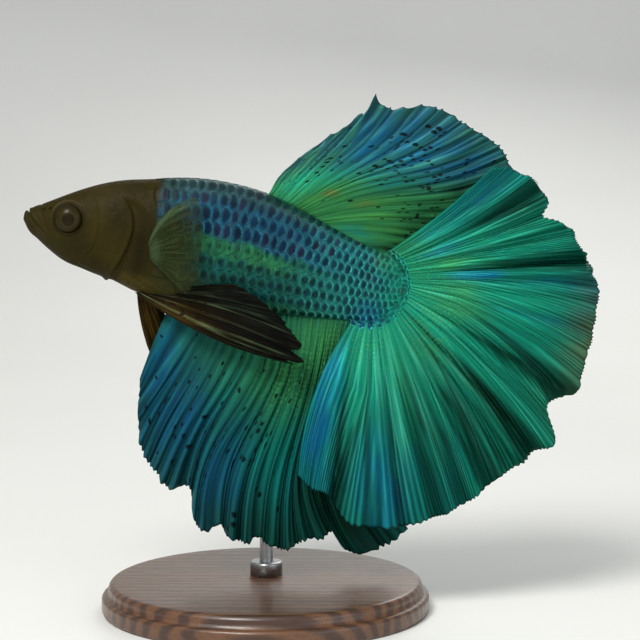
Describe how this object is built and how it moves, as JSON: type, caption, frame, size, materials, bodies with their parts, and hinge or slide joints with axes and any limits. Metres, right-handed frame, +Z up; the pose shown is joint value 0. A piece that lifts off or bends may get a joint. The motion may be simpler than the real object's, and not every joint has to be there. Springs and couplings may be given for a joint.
{
  "type": "betta fish",
  "caption": "Life-size still model of a male half-moon betta fish with flared fins and a fan tail, held by a plain rod on a round wooden base.",
  "frame": {"origin": "centre of the underside of the stand's base, which rests on the floor", "axes": "+X from the fish's head towards its tail, +Y towards the fish's right side, +Z up"},
  "size_m": [0.0763, 0.044, 0.0682],
  "materials": {
    "head_skin": "dark olive-brown moist skin, satin",
    "eye": "dark wet eye, glossy",
    "scales": "blue and green iridescent scales, satin sheen",
    "dorsal_fin": "blue-green fin membrane with dark spots, satin",
    "caudal_fin": "turquoise fin membrane with fine rays, satin",
    "anal_fin": "dark teal fin membrane with rows of spots, satin",
    "pelvic_fin": "blackish brown fin blade with pale ray lines",
    "pectoral_fin": "clear grey-green fin membrane",
    "stand_wood": "dark stained wood, satin",
    "stand_steel": "brushed steel, satin"
  },
  "bodies": {
    "root": {"head": "head_skin", "lower_jaw": "head_skin", "gill_cover_left": "head_skin", "gill_cover_right": "head_skin", "eye_left": "eye", "eye_right": "eye", "trunk": "scales", "tail_stalk": "scales", "dorsal_fin": "dorsal_fin", "anal_fin": "anal_fin", "caudal_fin": "caudal_fin", "pelvic_fin_left": "pelvic_fin", "pelvic_fin_right": "pelvic_fin", "pectoral_fin_left": "pectoral_fin", "pectoral_fin_right": "pectoral_fin", "stand_base": "stand_wood", "stand_rod": "stand_steel", "stand_collar": "stand_steel"}
  },
  "joints": []
}
